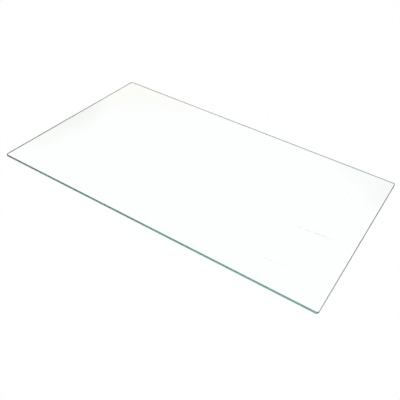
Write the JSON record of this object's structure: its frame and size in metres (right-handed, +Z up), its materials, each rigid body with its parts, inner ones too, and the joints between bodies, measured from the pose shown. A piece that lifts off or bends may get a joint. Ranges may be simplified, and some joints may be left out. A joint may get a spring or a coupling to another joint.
{
  "type": "crisper drawer cover",
  "caption": "Flat rectangular pane of clear toughened glass with rounded corners and a pencil edge, laid over a refrigerator's crisper drawer as its cover.",
  "frame": {"origin": "middle of the underside, on the surface that the pane lies on", "axes": "+X along the length, to the right as seen from the front; +Y from front to back; +Z up through the thickness"},
  "size_m": [0.525, 0.313, 0.004],
  "materials": {
    "glass": "clear float glass with a faint green body colour, polished faces and front rim, and a satin ground rim on the other three sides"
  },
  "bodies": {
    "root": {"glass_pane": "glass"}
  },
  "joints": []
}
